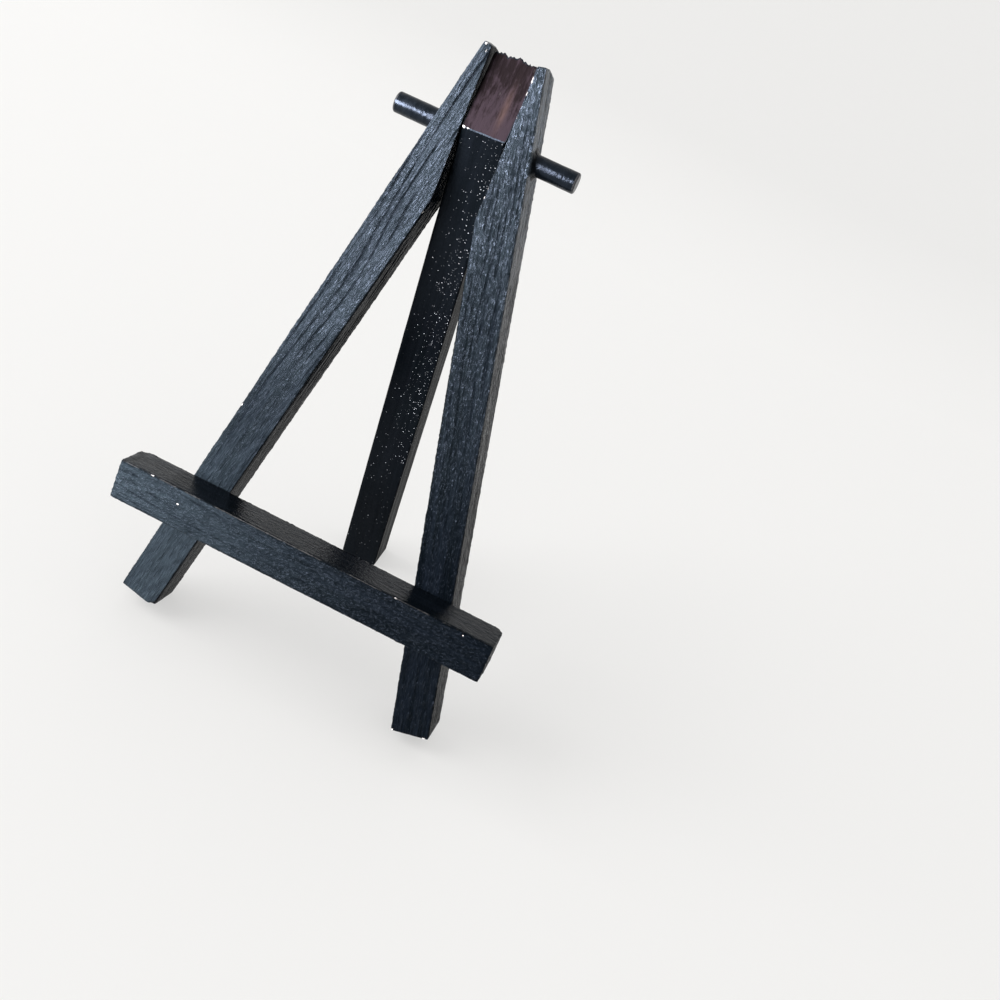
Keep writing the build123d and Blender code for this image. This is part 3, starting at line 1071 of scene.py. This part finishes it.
def sawn_end_grain(finish):
    """Thin paint soaked into the sawn slope: purple-brown with fine streaks, paler where the back leg
    sets its painted sheen, rubbed brown where dusty is high, with a few pale fibres."""
    groups = shared_groups()
    material, tree, shader = new_material("sawn end grain")
    vector = attribute(tree, "stick_mm", vector=True)
    fine = noise(tree, scaled(tree, vector, (1.3, 0.40, 1)), 1.0, 4, 0.65)
    grains = noise(tree, scaled(tree, vector, (1.1, 0.8, 1)), 1.0, 4, 0.75)
    patch = noise(tree, scaled(tree, vector, (0.35, 0.22, 1)), 1.0, 2, 0.5)
    mixed = plus(tree, fine, times(tree, patch, 0.5))
    mixed = plus(tree, mixed, times(tree, grains, 0.9))
    # Paler where the back leg's painted sheen lies on the sawn slope.
    mixed = plus(tree, mixed, times(tree, attribute(tree, "slate"), 0.35))
    mixed = between(tree, mixed, 1.18, 1.56)
    colour = blend_colour(tree, mixed, finish.end_grain_dark, finish.end_grain)
    rubbed = times(tree, attribute(tree, "dusty"), times(tree, fine, 1.1), clamp=True)
    colour = blend_colour(tree, rubbed, colour, finish.end_grain_rubbed)
    specks = use_group(tree, groups["Dust specks"], Vector=vector, Spacing=0.8, Share=0.10)["Mask"]
    pale = calc(tree, "MAXIMUM", ragged_chips(tree, vector), times(tree, specks, 0.2))
    colour = blend_colour(tree, pale, colour, finish.chip)
    set_inputs(
        tree, shader, Base_Color=colour, Roughness=0.62, Specular_IOR_Level=0.05,
        Specular_Tint=(1.0, 0.80, 0.88),
        Normal=bump_of(tree, plus(tree, fine, grains), 0.8, 0.00012),
    )
    return material


def nail_paint(finish):
    """Paint over steel, read from Object coordinates because the brads keep their CAD meshes."""
    material, tree, shader = new_material("painted brad")
    place = tree.nodes.new("ShaderNodeTexCoord").outputs["Object"]
    patch = noise(tree, place, 900.0, 3, 0.6)
    colour = blend_colour(tree, between(tree, patch, 0.4, 0.7), finish.paint, finish.haze)
    set_inputs(
        tree, shader, Base_Color=colour, Roughness=times_plus(tree, patch, 0.3, 0.25),
        Normal=bump_of(tree, patch, 0.6, 0.00005),
    )
    return material


# ---------------------------------------------------------------- operators
class EASEL_OT_front_legs(bpy.types.Operator):
    """Build both painted front legs, bored for the dowel"""

    bl_idname = "easel.front_legs"
    bl_label = "Front Legs"

    def execute(self, context):
        scene = context.scene
        for side in ("left", "right"):
            piece = build_front_leg(side, scene.easel_sizes)
            paint = painted_wood(f"{side} front leg", scene.easel_finish)
            piece.data.materials.append(paint)
            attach(piece, "front_frame")
            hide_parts(f"{side}_front_leg")
        return {"FINISHED"}


class EASEL_OT_ledge(bpy.types.Operator):
    """Build the painted ledge"""

    bl_idname = "easel.ledge"
    bl_label = "Ledge"

    def execute(self, context):
        scene = context.scene
        piece = build_ledge(scene.easel_sizes)
        piece.data.materials.append(painted_wood("ledge", scene.easel_finish))
        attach(piece, "front_frame")
        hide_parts("ledge")
        return {"FINISHED"}


class EASEL_OT_back_leg(bpy.types.Operator):
    """Build the back leg with its sawn slope and hinge hole"""

    bl_idname = "easel.back_leg"
    bl_label = "Back Leg"

    def execute(self, context):
        scene = context.scene
        piece = build_back_leg(scene.easel_sizes)
        piece.data.materials.append(painted_wood("back leg", scene.easel_finish))
        piece.data.materials.append(sawn_end_grain(scene.easel_finish))
        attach(piece, "back_leg")
        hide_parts("back_leg")
        return {"FINISHED"}


class EASEL_OT_dowel(bpy.types.Operator):
    """Build the hinge dowel and the rings of glue and paint at its exits"""

    bl_idname = "easel.dowel"
    bl_label = "Dowel"

    def execute(self, context):
        scene = context.scene
        piece = build_dowel()
        piece.data.materials.append(painted_wood("dowel", scene.easel_finish))
        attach(piece, "front_frame")
        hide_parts("hinge_dowel")
        ring_paint = painted_wood("glue ring", scene.easel_finish)
        for side in ("left", "right"):
            ring = build_glue_ring(side, scene.easel_sizes)
            ring.data.materials.append(ring_paint)
            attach(ring, "front_frame")
        return {"FINISHED"}


class EASEL_OT_brads(bpy.types.Operator):
    """Paint the two brads that hold the ledge"""

    bl_idname = "easel.brads"
    bl_label = "Brads"

    def execute(self, context):
        paint = nail_paint(context.scene.easel_finish)
        for name in ("left_ledge_brad", "right_ledge_brad"):
            slots = frame["nodes"][name].data.materials
            slots.clear()
            slots.append(paint)
        return {"FINISHED"}


def soft_light(name, energy, colour, size, place, target):
    """Rectangular area light at place, facing target."""
    light = bpy.data.lights.new(name, "AREA")
    light.shape = "RECTANGLE"
    light.size, light.size_y = size
    light.energy, light.color = energy, colour
    lamp = bpy.data.objects.new(name, light)
    lamp.location = place
    lamp.rotation_euler = (Vector(target) - Vector(place)).to_track_quat("-Z", "Y").to_euler()
    bpy.context.scene.collection.objects.link(lamp)
    return lamp


class EASEL_OT_studio(bpy.types.Operator):
    """Set out the pale floor and backdrop, the soft light and the camera"""

    bl_idname = "easel.studio"
    bl_label = "Studio"

    def execute(self, context):
        scene = context.scene
        studio = scene.easel_studio
        floor = self.lay_floor(studio)
        self.light(scene, floor)
        self.aim_camera(scene, studio)
        return {"FINISHED"}

    def lay_floor(self, studio):
        """Floor and backdrop in one sheet: flat, then a quarter circle up, then upright."""
        bend = np.linspace(0, math.pi / 2, 24)
        radius, wall = 0.05, 0.30
        y = np.concatenate([[-2.5], wall - radius + radius * np.sin(bend), [wall]])
        z = np.concatenate([[0.0], radius * (1 - np.cos(bend)), [2.0]])
        x = np.linspace(-2.5, 2.5, 3)
        grid = np.stack(np.broadcast_arrays(x, y[:, None], z[:, None]), -1)
        ids = grid_ids(grid)
        faces = quads_between(ids[:, :-1], ids[:, 1:]).reshape(-1, 4)
        mesh = bpy.data.meshes.new("floor")
        mesh.from_pydata(grid.reshape(-1, 3).tolist(), [], faces.tolist())
        mesh.polygons.foreach_set("use_smooth", np.ones(len(faces), bool))
        floor = bpy.data.objects.new("floor", mesh)
        bpy.context.scene.collection.objects.link(floor)
        material, tree, shader = new_material("pale floor")
        set_inputs(
            tree, shader, Base_Color=studio.floor, Roughness=0.7, Specular_IOR_Level=0.2,
            Emission_Color=(1.0, 0.995, 0.985), Emission_Strength=0.50,
        )
        mesh.materials.append(material)
        return floor

    def light(self, scene, floor):
        world = bpy.data.worlds.new("soft white room")
        scene.world = world
        world.use_nodes = True
        tree, warm = world.node_tree, (1.0, 0.99, 0.975)
        set_inputs(tree, tree.nodes["Background"], Color=warm, Strength=0.68)
        soft_light("skylight", 20.0, warm, (1.2, 1.2), (-1.3, -0.3, 1.2), (0, 0, 0))
        cool, place, target = (0.99, 0.955, 1.0), (-0.58, -0.88, 0.53), (0, 0, 0.1)
        window = soft_light("window", 66.0, cool, (0.75, 0.60), place, target)
        unlit = bpy.data.collections.new("not lit by the window")
        unlit.objects.link(floor)
        unlit.collection_objects[0].light_linking.link_state = "EXCLUDE"
        window.light_linking.receiver_collection = unlit
        scene.view_settings.view_transform = "Standard"

    def aim_camera(self, scene, studio):
        camera = bpy.data.cameras.new("camera")
        camera.lens, camera.sensor_width = studio.lens, 36
        camera.clip_start, camera.clip_end = 0.01, 20
        eye = bpy.data.objects.new("camera", camera)
        turned = (
            Matrix.Rotation(studio.heading, 4, "Z")
            @ Matrix.Rotation(math.pi / 2 - studio.pitch, 4, "X")
            @ Matrix.Rotation(studio.roll, 4, "Z")
        )
        eye.matrix_world = Matrix.Translation(studio.place) @ turned
        scene.collection.objects.link(eye)
        scene.camera = eye


class EASEL_PT_panel(bpy.types.Panel):
    """Lists the easel's operators"""

    bl_label = "Tabletop Easel"
    bl_idname = "EASEL_PT_panel"
    bl_space_type = "VIEW_3D"
    bl_region_type = "UI"
    bl_category = "Easel"

    def draw(self, context):
        column = self.layout.column(align=True)
        for operator in OPERATORS:
            column.operator(operator.bl_idname)


OPERATORS = (
    EASEL_OT_studio,
    EASEL_OT_front_legs,
    EASEL_OT_ledge,
    EASEL_OT_back_leg,
    EASEL_OT_dowel,
    EASEL_OT_brads,
)
SETTINGS = {"easel_sizes": EaselSizes, "easel_finish": EaselFinish, "easel_studio": EaselStudio}


def register():
    for made in (*SETTINGS.values(), *OPERATORS, EASEL_PT_panel):
        bpy.utils.register_class(made)
    for name, kind in SETTINGS.items():
        setattr(bpy.types.Scene, name, bpy.props.PointerProperty(type=kind))


def unregister():
    for name in SETTINGS:
        delattr(bpy.types.Scene, name)
    for made in reversed((*SETTINGS.values(), *OPERATORS, EASEL_PT_panel)):
        bpy.utils.unregister_class(made)


def main():
    register()
    bpy.ops.easel.studio()
    bpy.ops.easel.front_legs()
    bpy.ops.easel.ledge()
    bpy.ops.easel.back_leg()
    bpy.ops.easel.dowel()
    bpy.ops.easel.brads()


if __name__ == "__main__":
    main()
